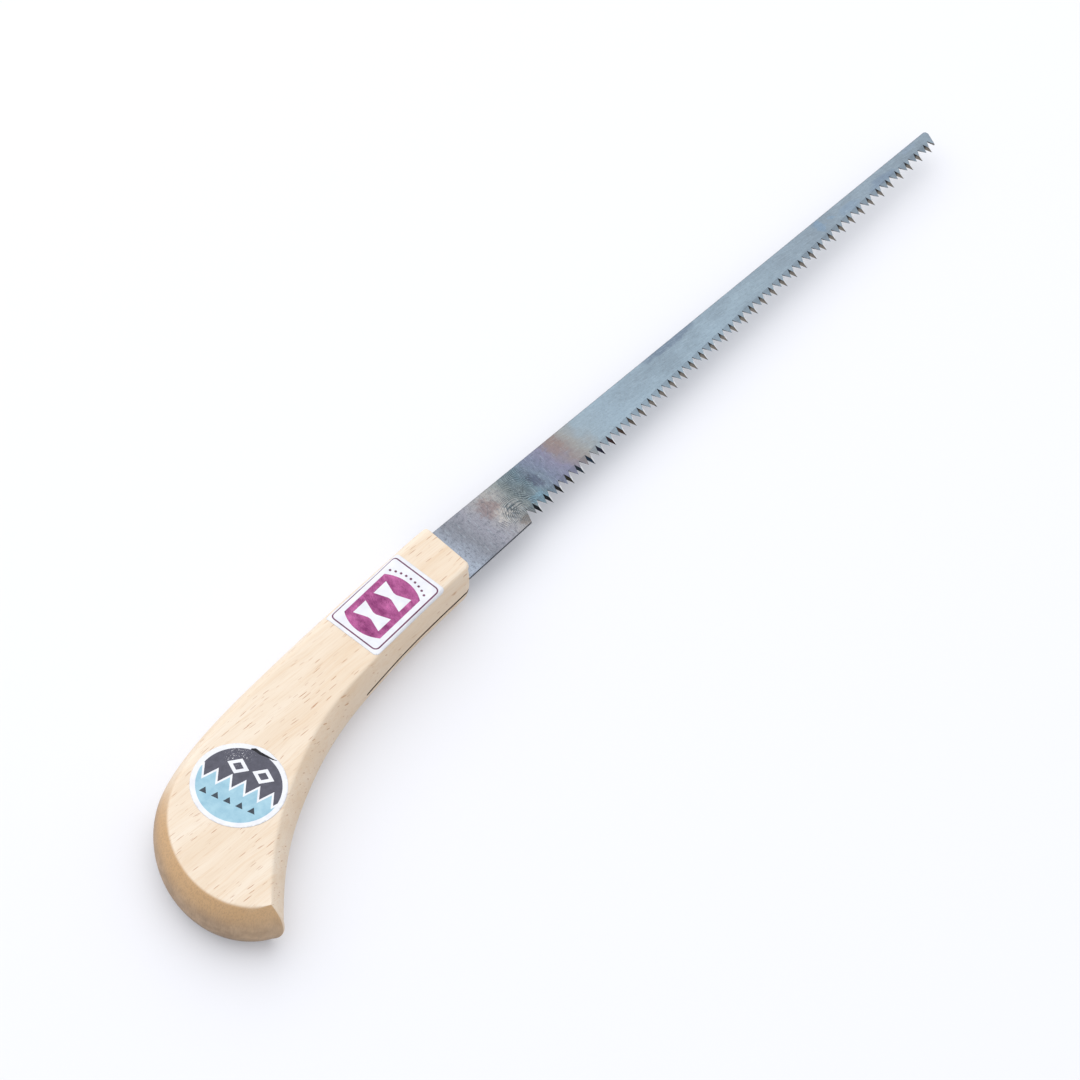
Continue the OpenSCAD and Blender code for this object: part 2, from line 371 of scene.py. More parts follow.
    lean = s.node("ShaderNodeMapping", {"Vector": at, "Rotation": (0, 0, math.radians(7))}).outputs[0]
    near = s.step(x, 66.0, 48.0)
    across = s.noise(lean, (2.4, 0.25, 0), 4.0, 0.7)
    lengthwise = s.noise(lean, (0.28, 2.4, 0), 4.0, 0.7, (1, 4, 0))
    far_share = s.math("SUBTRACT", 1.0, near)
    near_lines = s.math("MULTIPLY", across, near)
    ground = s.math("ADD", near_lines, s.math("MULTIPLY", lengthwise, far_share))
    coarse = s.noise(at, (0.9, 0.8, 0), 6.0, 0.8, (3, 7, 0))
    speck = s.noise(at, (3.2, 3.2, 0), 2.0, 0.6, (6, 6, 0))
    handled = s.math("MULTIPLY_ADD", s.step(x, 62.0, 46.0), 0.45, 0.25)
    color = s.mix(s.math("MULTIPLY", s.step(ground, 0.50, 0.68), 0.30), color, rgb(158, 172, 180))
    color = s.mix(s.math("MULTIPLY", s.step(ground, 0.46, 0.30), 0.30), color, rgb(84, 94, 104))
    color = s.mix(s.math("MULTIPLY", s.step(coarse, 0.46, 0.68), handled), color, rgb(74, 80, 88))
    color = s.mix(s.math("MULTIPLY", s.step(speck, 0.55, 0.72), handled), color, rgb(64, 68, 74))

    # The bent teeth's darker share is painted shade.
    color = s.mix(shade, color, rgb(60, 68, 78))
    lines = s.math("ADD", s.math("MULTIPLY", ground, 0.7), s.math("MULTIPLY", print_line, 0.25))
    s.set(
        Base_Color=color,
        Roughness=s.math("MULTIPLY_ADD", ground, 0.16, 0.30),
        Normal=s.bump(lines, 0.25, 0.03),
    )
    s.surface.inputs["Metallic"].default_value = 1.0
    return s.material


def dark_reflection_flank():
    """A filed flank whose dark tones are a painted dark reflection, black in the root, where it is also
    painted shade, and at the tip. Those near the heel took temper colours.
    """
    s = Shader("dark_reflection_flank")
    at = s.saw_coords()
    x, y, _ = s.split(at)
    (x0, y0), (x1, y1) = GULLET_LINE
    slope = (y1 - y0) / (x1 - x0)
    root_y = s.math("MULTIPLY_ADD", x, slope, y0 - slope * x0)
    below = s.math("DIVIDE", s.math("SUBTRACT", root_y, y), 5.0)
    # Down the flank: black in the root as painted shade, grey-brown in the middle and dark at the tip,
    # all a painted dark reflection.
    bare = s.ramp(below, [
        (0.0, rgb(18, 18, 20)),
        (0.24, rgb(30, 29, 30)),
        (0.36, rgb(116, 110, 102)),
        (0.66, rgb(126, 119, 110)),
        (0.84, rgb(42, 40, 42)),
    ])
    along = s.math("DIVIDE", s.math("SUBTRACT", x, 30.0), 80.0)
    temper = s.ramp(along, [
        (0.0, rgb(14, 22, 28)),
        (0.18, rgb(16, 20, 26)),
        (0.28, rgb(38, 34, 24)),
        (0.38, rgb(18, 44, 62)),
        (0.46, rgb(22, 26, 48)),
        (0.55, rgb(54, 32, 26)),
        (0.68, rgb(70, 58, 46)),
    ])
    color = s.mix(s.step(along, 0.55, 0.85), temper, bare)
    scratch = s.noise(at, (2.0, 2.0, 9.0), 2.0)
    color = s.mix(s.math("MULTIPLY", s.step(scratch, 0.5, 0.8), 0.15), color, rgb(150, 148, 146))
    s.set(Base_Color=color, Roughness=s.math("MULTIPLY_ADD", scratch, 0.2, 0.35))
    s.surface.inputs["Metallic"].default_value = 0.7
    return s.material


def painted_glint_flank():
    """A filed flank with fine scratches, painted almost white: a painted glint of the bright floor it
    reflects.
    """
    s = Shader("painted_glint_flank")
    at = s.saw_coords()
    scratch = s.noise(at, (2.0, 2.0, 9.0), 2.0)
    color = s.ramp(scratch, [(0.3, rgb(214, 218, 222)), (0.7, rgb(248, 249, 250))])
    s.set(Base_Color=color, Roughness=s.math("MULTIPLY_ADD", scratch, 0.2, 0.4))
    s.surface.inputs["Metallic"].default_value = 0.15
    return s.material


def plain_steel(name, dark, light, rough):
    """Bare steel with faint patches, for the nails and the blade's cut edges."""
    s = Shader(name)
    at = s.saw_coords()
    patches = s.noise(at, (0.5, 1.5, 1.5), 3.0, 0.6)
    s.set(
        Base_Color=s.ramp(patches, [(0.35, dark), (0.68, light)]),
        Roughness=s.math("MULTIPLY_ADD", patches, 0.2, rough),
        Normal=s.bump(patches, 0.2, 0.03),
    )
    s.surface.inputs["Metallic"].default_value = 1.0
    return s.material


def printed_paper(
    name, low, high, rough=0.45, metallic=0.0, patch=(0.3, 0.3, 0.3), wrinkle=0.15, wrinkle_mm=0.05
):
    """Smooth printed paper whose ink varies a little, with a faint texture in the gloss."""
    s = Shader(name)
    at = s.saw_coords()
    ink = s.noise(at, patch, 3.0, 0.6, (1, 2, 3))
    fibre = s.noise(at, (3.0, 3.0, 3.0), 3.0)
    s.set(
        Base_Color=s.ramp(ink, [(0.34, low), (0.66, high)]),
        Roughness=s.math("MULTIPLY_ADD", fibre, 0.15, rough),
        Normal=s.bump(s.math("ADD", fibre, s.math("MULTIPLY", ink, 2.0)), wrinkle, wrinkle_mm),
    )
    s.surface.inputs["Metallic"].default_value = metallic
    return s.material


def scuffed_ink(name, low, high, bare, centre, radii):
    """Dark ink that has rubbed off in small specks near one edge of its label."""
    s = Shader(name)
    at = s.saw_coords()
    ink = s.noise(at, (0.5, 0.5, 0.5), 4.0, 0.65, (1, 2, 3))
    speck = s.noise(at, (2.4, 2.4, 2.4), 3.0, 0.6, (8, 3, 5))
    worn = s.math("MULTIPLY", s.step(speck, 0.60, 0.66), s.spot(at, centre, radii, 0.9))
    color = s.mix(worn, s.ramp(ink, [(0.34, low), (0.66, high)]), bare)
    s.set(
        Base_Color=color,
        Roughness=s.math("MULTIPLY_ADD", ink, 0.2, 0.38),
        Normal=s.bump(ink, 0.15, 0.05),
    )
    return s.material


# ---------------------------------------------------------------- the handle's outline

# How far the rounded sides swell past the flat faces, and the hooked nose of the butt.
SIDE_SWELL = 4.1
NOSE_CENTRE = np.array((-132.0, -64.1))
NOSE_R = 0.5
NOSE_REACH = 0.3
BUTT_HEADING = 332.5
GRIP_HEADING = 45.5
# The radius of the worn ridges, and the distance between the outline's points.
RIDGE_R = 1.9
STEP_MM = 1.3

SIDE_R = (MID_Z**2 + SIDE_SWELL**2) / (2 * SIDE_SWELL)
RIDGE_TURN = math.pi / 2 - math.asin(MID_Z / SIDE_R)
RIDGE_START = SIDE_SWELL + RIDGE_R * math.tan(RIDGE_TURN / 2)


def heading(degrees):
    """The unit vector at an angle from X."""
    return np.array((math.cos(math.radians(degrees)), math.sin(math.radians(degrees))))


def nose_joint(direction, back, ahead):
    """A Bezier joint on the nose's circle, where the outline runs in a direction."""
    along = heading(direction)
    spot = NOSE_CENTRE + (NOSE_R + SIDE_SWELL) * np.array((along[1], -along[0]))
    return (*spot, direction, back, ahead)


# The same Bezier joints as in the CAD: x, y, heading, reach backwards, reach forwards.
SPINE_JOINTS = (
    (0, 1.3, 181, 0, 28),
    (-83, -2.8, 185, 28, 15),
    (-124.7, -10.9, 202.5, 12, 13.5),
    (-147.4, -44, 268.5, 14.5, 11),
    nose_joint(BUTT_HEADING, 9, 0),
)
TOOTH_SIDE_JOINTS = (
    nose_joint(GRIP_HEADING, 0, 19.5),
    (-86, -38, 23.8, 20, 20),
    (-39.6, -26.3, 8, 15, 15),
    (0, -22.9, 4, 10, 0),
)


def chain(joints):
    """Evenly spaced points along a chain of Bezier joints, with their outward directions."""
    dense = []
    for a, b in zip(joints[:-1], joints[1:]):
        t = np.linspace(0, 1, 200)[:, None]
        p0 = np.array(a[:2], float)
        p3 = np.array(b[:2], float)
        p1 = p0 + a[4] * heading(a[2])
        p2 = p3 - b[3] * heading(b[2])
        dense.append((1 - t) ** 3 * p0 + 3 * (1 - t) ** 2 * t * p1 + 3 * (1 - t) * t**2 * p2 + t**3 * p3)
    dense = np.vstack(dense)
    run = np.concatenate(([0], np.cumsum(np.linalg.norm(np.diff(dense, axis=0), axis=1))))
    count = int(run[-1] / STEP_MM)
    stops = np.linspace(0, run[-1], count + 1)
    points = np.column_stack([np.interp(stops, run, dense[:, axis]) for axis in (0, 1)])
    ahead = np.gradient(points, axis=0)
    ahead /= np.linalg.norm(ahead, axis=1)[:, None]
    return points, np.column_stack((ahead[:, 1], -ahead[:, 0])), stops


def smooth(value):
    """0 below 0 and 1 above 1, smooth between."""
    value = min(max(value, 0.0), 1.0)
    return value * value * (3 - 2 * value)


# The front end's depth, and how far behind it the sections turn square to X.
FRONT_DEPTH = 4.4
SQUARE_RUN = 10.0
# How quickly the ridges sharpen towards the nose, and how much softer they are at the front.
EASE_RUN = 6.0
EASE_LEAST = 0.12
FRONT_SOFTENING = 0.8
# The upper half's share of the side swell at the front, and the X range over which it falls to that.
SPINE_REACH = (0.7, -28.0, -2.0)
TOOTH_REACH = (0.62, -80.0, -42.0)
# A distance that counts as far from the nose, the gap behind the front row, and the nose's steps.
FAR = 99
ROW_GAP = 0.6
NOSE_STEPS = 14


def outline_rows():
    """(point, outward, lower reach, upper reach, ease) from the front along the spine side, round the
    nose, and back. A reach scales how far the rounded side swells past its flat face there."""
    spine, spine_out, spine_run = chain(SPINE_JOINTS)
    tooth, tooth_out, tooth_run = chain(TOOTH_SIDE_JOINTS)
    rows = []

    def side_row(point, outward, square, to_nose, front_reach):
        share = smooth((-FRONT_DEPTH - point[0]) / SQUARE_RUN)
        direction = share * outward + (1 - share) * np.array(square)
        ease = max(EASE_LEAST, smooth(to_nose / EASE_RUN))
        ease *= 1 + FRONT_SOFTENING * smooth((point[0] + 50) / 45)
        least, begin, end = front_reach
        reach = 1 - (1 - least) * smooth((point[0] - begin) / (end - begin))
        return point, direction / np.linalg.norm(direction), 1.0, reach, ease

    def at_front(points):
        y = np.interp(FRONT_DEPTH, -points[:, 0], points[:, 1])
        return np.array((-FRONT_DEPTH, y))

    first = at_front(spine[:20])
    rows.append(side_row(first, np.array((0, 1)), (0, 1), FAR, SPINE_REACH))
    for point, outward, run in zip(spine[:-1], spine_out, spine_run):
        if point[0] < -FRONT_DEPTH - ROW_GAP:
            rows.append(side_row(point, outward, (0, 1), spine_run[-1] - run, SPINE_REACH))
    for k in range(NOSE_STEPS + 1):
        share = k / NOSE_STEPS
        turn = BUTT_HEADING - 90 + share * (GRIP_HEADING + 360 - BUTT_HEADING)
        reach = 1 + NOSE_REACH * math.sin(math.pi * share) ** 4
        spot = NOSE_CENTRE + (NOSE_R + SIDE_SWELL * reach) * heading(turn)
        rows.append((spot, heading(turn), reach, reach, EASE_LEAST))
    for point, outward, run in zip(tooth[1:], tooth_out[1:], tooth_run[1:]):
        if point[0] < -FRONT_DEPTH - ROW_GAP:
            rows.append(side_row(point, outward, (0, -1), run, TOOTH_REACH))
    last = at_front(tooth[::-1][:20])
    rows.append(side_row(last, np.array((0, -1)), (0, -1), FAR, TOOTH_REACH))
    return rows


def side_profile(depth, ease=1.0):
    """How far in from the widest outline the side lies at a depth under a flat face, and its normal
    there as (outward, upward) shares."""
    radius = RIDGE_R * ease
    if depth < radius * (1 - math.cos(RIDGE_TURN)):
        turn = math.acos(1 - depth / radius)
        inset = SIDE_SWELL + radius * (math.tan(RIDGE_TURN / 2) - math.sin(turn))
        return inset, (math.sin(turn), math.cos(turn))
    height = MID_Z - depth
    across = math.sqrt(SIDE_R**2 - height**2)
    return SIDE_R - across, (across / SIDE_R, height / SIDE_R)


# ---------------------------------------------------------------- the handle

# Depths under a flat face at which the side's section has points.
DEPTHS = (0, 0.03, 0.1, 0.22, 0.4, 0.62, 0.9, 1.3, 1.9, 2.7, 3.7, 5.0, 6.5, 8.0, MID_Z - 0.5)
# How far inside a flat face's edge its ring of points lies.
FLAT_MARGIN = 0.9
# The front end's sections, and the radii of its edges and corners.
FRONT_STATIONS = (-3.8, -3.2, -2.6, -2.0, -1.5, -1.05, -0.7, -0.42, -0.22, -0.08, -0.02, 0.0)
TOP_EASE = 0.7
SPINE_CORNER = 0.6
TOOTH_CORNER = 4.0
# The kerf's length, and its floor as (x, y) points from the front face back.
KERF_LENGTH = 53.0
KERF_FLOOR = ((0.0, 0.3), (-5.0, 0.3), (-53.0, -4.7))


def level(row, k):
    """Point, and the section's normal, at level k; levels run from the lower face to the upper."""
    point, outward, reach_low, reach_high, ease = row
    last = 2 * len(DEPTHS) - 1
    upper = k >= len(DEPTHS)
    reach = reach_high if upper else reach_low
    depth = DEPTHS[last - k] if upper else DEPTHS[k]
    inset, (out, up) = side_profile(depth, ease)
    inset = reach * min(inset, SIDE_SWELL) + max(inset - SIDE_SWELL, 0)
    plan = point - outward * inset
    sign = 1 if upper else -1
    return np.array((*plan, THICK - depth if upper else depth)), np.array((*(outward * out), sign * up))


def flat_point(row, upper):
    """The point a little inside a flat face's edge, which keeps the shading of the face flat."""
    point, outward, reach_low, reach_high, ease = row
    reach = reach_high if upper else reach_low
    inset = reach * SIDE_SWELL + ease * (RIDGE_START - SIDE_SWELL + FLAT_MARGIN)
    plan = point - outward * inset
    return np.array((*plan, THICK if upper else 0.0)), np.array((0, 0, 1.0 if upper else -1.0))


def eased(point, normal, x, corner):
    """A point of the front end's section, moved to x and drawn in to round the front face's edge."""
    radius = TOP_EASE + (corner - TOP_EASE) * abs(normal[1])
    past = max(0.0, x + radius)
    draw = radius - math.sqrt(max(0.0, radius**2 - past**2))
    return (x, point[1] - draw * normal[1], point[2] - draw * normal[2])


def build_handle(wood, kerf):
    """One closed mesh: rows of side sections, two flat faces, a rounded front end and the kerf."""
    rows = outline_rows()
    count = len(rows)
    levels = 2 * len(DEPTHS)
    slot = len(DEPTHS) - 1
    verts = []
    faces = []
    slots = []

    def add(point):
        verts.append(tuple(point))
        return len(verts) - 1

    def face(indices, material=0):
        faces.append(list(indices))
        slots.append(material)

    grid = [[add(level(row, k)[0]) for k in range(levels)] for row in rows]
    tops = [add(flat_point(row, True)[0]) for row in rows]
    bottoms = [add(flat_point(row, False)[0]) for row in rows]
    nose = min(range(count), key=lambda i: rows[i][0][1])
    kerf_end = min(range(nose, count), key=lambda i: abs(rows[i][0][0] + KERF_LENGTH))

    for i in range(count - 1):
        for k in range(levels - 1):
            if k == slot and i >= kerf_end:
                continue
            face((grid[i][k], grid[i + 1][k], grid[i + 1][k + 1], grid[i][k + 1]))
        face((grid[i][-1], grid[i + 1][-1], tops[i + 1], tops[i]))
        face((grid[i][0], bottoms[i], bottoms[i + 1], grid[i + 1][0]))
    face(tops)
    face(bottoms)

    # The front end: the same closed section repeated along X and drawn in towards the front face.
    def section(row, corner, upward):
        order = range(levels) if upward else range(levels - 1, -1, -1)
        return [(*level(row, k), corner) for k in order]

    first, last = rows[0], rows[-1]
    loop = section(first, SPINE_CORNER, True)
    loop += [(*flat_point(first, True), SPINE_CORNER), (*flat_point(last, True), TOOTH_CORNER)]
    loop += section(last, TOOTH_CORNER, False)
    loop += [(*flat_point(last, False), TOOTH_CORNER), (*flat_point(first, False), SPINE_CORNER)]
    ring = [*grid[0], tops[0], tops[-1], *grid[-1][::-1], bottoms[-1], bottoms[0]]
    lip_high = levels + 2 + (levels - 1 - (slot + 1))
    lip_low = lip_high + 1
    high_edge = [grid[i][slot + 1] for i in range(kerf_end, count)]
    low_edge = [grid[i][slot] for i in range(kerf_end, count)]
    size = len(ring)
    for x in FRONT_STATIONS:
        following = [add(eased(point, normal, x, corner)) for point, normal, corner in loop]
        for m in range(size):
            if m != lip_high:
                n = (m + 1) % size
                face((ring[m], ring[n], following[n], following[m]))
        high_edge.append(following[lip_high])
        low_edge.append(following[lip_low])
        ring = following

    # The kerf: two walls, a sloping floor, and a notch in the front face.
    high_floor = [add((x, y, verts[high_edge[0]][2])) for x, y in KERF_FLOOR]
    low_floor = [add((x, y, verts[low_edge[0]][2])) for x, y in KERF_FLOOR]
    around = [ring[(lip_low + m) % size] for m in range(size)]
    face([*around, high_floor[0], low_floor[0]])
    face([*high_edge, *high_floor], 1)
    face([*low_edge, *low_floor], 1)
    for m in range(len(KERF_FLOOR) - 1):
        face((low_floor[m], low_floor[m + 1], high_floor[m + 1], high_floor[m]), 1)
    face((low_floor[-1], low_edge[0], high_edge[0], high_floor[-1]), 1)

    handle = make_object("wood_handle", verts, faces, (wood, kerf), slots, 38)
    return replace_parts(handle, "handle")


# ---------------------------------------------------------------- the blade

# The gullets' count, spacing and first place, and the lines that the tips and gullets follow.
TOOTH_COUNT = 81
TOOTH_PITCH = 2.597
FIRST_GULLET_X = 33.35
TIP_LINE = ((35.0, -17.5), (242.0, -6.15))
GULLET_LINE = ((36.6, -13.65), (239.0, -3.15))
# The bare shank and heel, the far end's cut corners, and the tang.
SHANK_H = 20.2
HEEL = (31.0, -18.8)
END_EDGE = ((-1.8, -5.9), (0.0, -1.4), (-0.25, -0.4), (-0.9, 0.0))
TANG = ((-5.0, 0.0), (-42.0, -5.0), (-47.0, -10.0), (-47.0, -15.2), (-42.0, -20.2))
# How far the tips are bent up or down, and how far the plate's edges are broken.
TOOTH_SET = 0.28
EDGE_BREAK = 0.14
# A tip's place behind the middle of its two gullets, and how far it passes the tip line.
RAKE = 0.3
DOWN_TOOTH_EXTRA = 1.0
UP_TOOTH_EXTRA = 0.25
# The share of its length that the filed-back edge of a tooth keeps.
SHORT_SHARE = 0.57
# Where a gullet meets the upper and the lower face, from its place on the gullet line. They come in
# turn, before a tooth bent up and before one bent down.
UP_ROOT = ((-0.16, -0.3), (0.2, -0.3))
DOWN_ROOT = ((0.31, -0.15), (-0.12, -1.75))
# The blade's material slots, and the shortest edge that is broken. The dark flanks carry a painted dark
# reflection, the bright flanks a painted glint, and the bent teeth painted shade.
PLATE, DARK, BRIGHT, EDGE, BENT = range(5)
SHORTEST_BROKEN = 0.3


def line_y(ends, x):
    """The height at x of the straight line through two points."""
    (x0, y0), (x1, y1) = ends
    return y0 + (y1 - y0) * (x - x0) / (x1 - x0)


def build_blade(plate, dark, bright, edge, shaded_tooth_face):
    """The plate's two faces meet the teeth along the gullets. Each tooth is a bent triangle on each
    face, joined by two flanks that lean the way it was filed."""
    verts = []
    faces = []
    slots = []
    half = BLADE_T / 2

    def add(x, y, z):
        verts.append((x, y, MID_Z + z))
        return len(verts) - 1

    def face(indices, material):
        faces.append(list(indices))
        slots.append(material)

    roots = []
    for i in range(TOOTH_COUNT):
        x = FIRST_GULLET_X + i * TOOTH_PITCH
        y = line_y(GULLET_LINE, x)
        (high_x, high_y), (low_x, low_y) = DOWN_ROOT if i % 2 else UP_ROOT
        roots.append((add(x + high_x, y + high_y, half), add(x + low_x, y + low_y, -half)))

    end_x = BLADE_REACH
    border = [(end_x + dx, y) for dx, y in END_EDGE[1:]] + list(TANG) + [(0.0, -SHANK_H), HEEL]
    rim = [(add(x, y, half), add(x, y, -half)) for x, y in border]
    last_x, last_y = end_x + END_EDGE[0][0], END_EDGE[0][1]
    tip = (add(last_x, last_y, half), add(last_x, last_y, -half))

    tips = []
    for i in range(TOOTH_COUNT - 1):
        x = FIRST_GULLET_X + (i + 0.5) * TOOTH_PITCH - RAKE
        points_up = i % 2 == 0
        root_y = line_y(GULLET_LINE, x)
        long_y = line_y(TIP_LINE, x) - (UP_TOOTH_EXTRA if points_up else DOWN_TOOTH_EXTRA)
        short_y = root_y + (long_y - root_y) * SHORT_SHARE
        bend = TOOTH_SET if points_up else -TOOTH_SET
        long_end = (x, long_y, bend)
        short_end = (x, short_y, bend * SHORT_SHARE)
        high, low = (long_end, short_end) if points_up else (short_end, long_end)
        tips.append((add(high[0], high[1], half + high[2]), add(low[0], low[1], -half + low[2])))

    for side in (0, 1):
        face([pair[side] for pair in roots + rim], PLATE)
        for i in range(TOOTH_COUNT - 1):
            bent_towards = (i + side) % 2 == 0
            face((roots[i][side], tips[i][side], roots[i + 1][side]), BENT if bent_towards else PLATE)
        face((roots[-1][side], tip[side], rim[0][side]), PLATE)
    for i in range(TOOTH_COUNT - 1):
        face((roots[i][0], tips[i][0], tips[i][1], roots[i][1]), DARK)
        face((tips[i][0], roots[i + 1][0], roots[i + 1][1], tips[i][1]), BRIGHT)
    face((roots[-1][0], tip[0], tip[1], roots[-1][1]), DARK)
    face((tip[0], rim[0][0], rim[0][1], tip[1]), EDGE)
    for a, b in zip(rim[:-1], rim[1:]):
        face((a[0], b[0], b[1], a[1]), EDGE)
    face((rim[-1][0], roots[0][0], roots[0][1], rim[-1][1]), DARK)

    blade = make_object("steel_blade", verts, faces, (plate, dark, bright, edge, shaded_tooth_face), slots)
    work = bmesh.new()
    work.from_mesh(blade.data)
    broken = []
    for line in work.edges:
        between = {beside.material_index for beside in line.link_faces}
        if between == {PLATE, EDGE} and line.calc_length() > SHORTEST_BROKEN * MM:
            broken.append(line)
    bmesh.ops.bevel(
        work, geom=broken, offset=EDGE_BREAK * MM, segments=1, affect="EDGES", material=EDGE
    )
    work.to_mesh(blade.data)
    work.free()
    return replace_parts(blade, "blade")


# ---------------------------------------------------------------- the paper labels

# The paper's thickness, its mesh's spacing, and how close two of its points may be.
PAPER_T = 0.1
LABEL_PITCH = 0.7
SAME_POINT = 1e-5


def arc(centre, radius, start, end, steps):
    """Points along an arc between two angles in degrees."""
    turns = np.radians(np.linspace(start, end, steps + 1))
    return [(centre[0] + radius * math.cos(t), centre[1] + radius * math.sin(t)) for t in turns]


def rounded_box(length, width, corner, steps=6):
    """A rectangle round the origin with rounded corners."""
    half_l, half_w = length / 2 - corner, width / 2 - corner
    points = []
    for sx, sy, start in ((1, 1, 0), (-1, 1, 90), (-1, -1, 180), (1, -1, 270)):
        points += arc((sx * half_l, sy * half_w), corner, start, start + 90, steps)
    return points


def moved(points, centre, degrees):
    """Points turned about the origin and then moved to a centre."""
    cos, sin = heading(degrees)
    return [(centre[0] + cos * x - sin * y, centre[1] + sin * x + cos * y) for x, y in points]


def ribbon(points, width):
    """The outline of an open line of even width, with mitred corners."""
    points = [np.array(p, float) for p in points]
    left, right = [], []
    for i, point in enumerate(points):
        before = point - points[i - 1] if i else points[1] - point
        after = points[i + 1] - point if i < len(points) - 1 else before
        before = before / np.linalg.norm(before)
        after = after / np.linalg.norm(after)
        across = np.array((-(before + after)[1], (before + after)[0]))
        across /= np.linalg.norm(across)
        reach = width / 2 / max(0.3, across @ np.array((-before[1], before[0])))
        left.append(tuple(point + across * reach))
        right.append(tuple(point - across * reach))
    return left + right[::-1]


def subdivided(polygon, pitch):
    """The same outline with no edge much longer than pitch, so that it can bend over a ridge."""
    points = []
    for (x0, y0), (x1, y1) in zip(polygon, polygon[1:] + polygon[:1]):
        steps = max(1, round(math.hypot(x1 - x0, y1 - y0) / pitch))
        points += [(x0 + (x1 - x0) * m / steps, y0 + (y1 - y0) * m / steps) for m in range(steps)]
    return points


def inside(polygon, x, y):
    """Whether a point is inside a polygon."""
    hit = False
    for (x0, y0), (x1, y1) in zip(polygon, polygon[1:] + polygon[:1]):
        if (y0 > y) != (y1 > y) and x < x0 + (y - y0) * (x1 - x0) / (y1 - y0):
            hit = not hit
    return hit


def wrap_table():
    """Along the side's section from where the flat face ends: inset and depth."""
    turns = np.linspace(0, RIDGE_TURN, 30)
    insets = [RIDGE_START - RIDGE_R * math.sin(t) for t in turns]
    depths = [RIDGE_R * (1 - math.cos(t)) for t in turns]
    for depth in np.linspace(depths[-1] + 0.05, 4, 40):
        depths.append(depth)
        insets.append(side_profile(depth)[0])
    return np.array(insets), np.array(depths)


WRAP_INSET, WRAP_DEPTH = wrap_table()


def on_handle(x, y, rows, edge_points):
    """Where a point of a flat label comes to lie once its edges are pressed over the ridges."""
    nearest = int(np.hypot(edge_points[:, 0] - x, edge_points[:, 1] - y).argmin())
    point, outward, _, reach, _ = rows[nearest]
    insets = reach * np.minimum(WRAP_INSET, SIDE_SWELL) + np.maximum(WRAP_INSET - SIDE_SWELL, 0)
    inset = (point - np.array((x, y))) @ outward
    run = insets[0] - inset
    if run <= 0:
        return x, y, THICK
    runs = np.concatenate(([0], np.cumsum(np.hypot(np.diff(insets), np.diff(WRAP_DEPTH)))))
    shift = outward * (inset - np.interp(run, runs, insets))
    return x + shift[0], y + shift[1], THICK - np.interp(run, runs, WRAP_DEPTH)


def build_label(name, node, outline, shapes, materials, centre, turn, lift=None):
    """A paper label cut into printed areas. shapes holds (polygon, material number); where they
    overlap, the later one is on top."""
    polygons = [outline] + [polygon for polygon, _ in shapes]
    loops = [subdivided(polygon, LABEL_PITCH) for polygon in polygons]
    points = []
    edges = []
    for loop_points in loops:
        base = len(points)
        points += [Vector(p) for p in loop_points]
        edges += [(base + i, base + (i + 1) % len(loop_points)) for i in range(len(loop_points))]
    xs, ys = [p[0] for p in outline], [p[1] for p in outline]
    for gx in np.arange(min(xs) + LABEL_PITCH / 2, max(xs), LABEL_PITCH):
        for gy in np.arange(min(ys) + LABEL_PITCH / 2, max(ys), LABEL_PITCH):
            if inside(outline, gx, gy):
                points.append(Vector((gx, gy)))
    flat, _, triangles, _, _, _ = delaunay_2d_cdt(points, edges, [], 0, SAME_POINT)
    kept = []
    inks = []
    for triangle in triangles:
        mx = sum(flat[i].x for i in triangle) / 3
        my = sum(flat[i].y for i in triangle) / 3
        if inside(outline, mx, my):
            kept.append(list(triangle))
            inks.append(next((m for polygon, m in reversed(shapes) if inside(polygon, mx, my)), 0))
    rows = outline_rows()
    edge_points = np.array([row[0] for row in rows])
    verts = []
    for p in flat:
        (x, y), = moved([(p.x, p.y)], centre, turn)
        x, y, z = on_handle(x, y, rows, edge_points)
        verts.append((x, y, z + PAPER_T + (lift(p.x, p.y) if lift else 0)))
    used = sorted({i for triangle in kept for i in triangle})
    index = {old: new for new, old in enumerate(used)}
    kept = [[index[i] for i in triangle] for triangle in kept]
    label = make_object(name, [verts[i] for i in used], kept, materials, inks, 40)
    if label.data.polygons[0].normal.z < 0:
        label.data.flip_normals()
    apply_modifier(label, "SOLIDIFY", thickness=PAPER_T * MM * 0.9, offset=-1.0)
    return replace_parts(label, node)


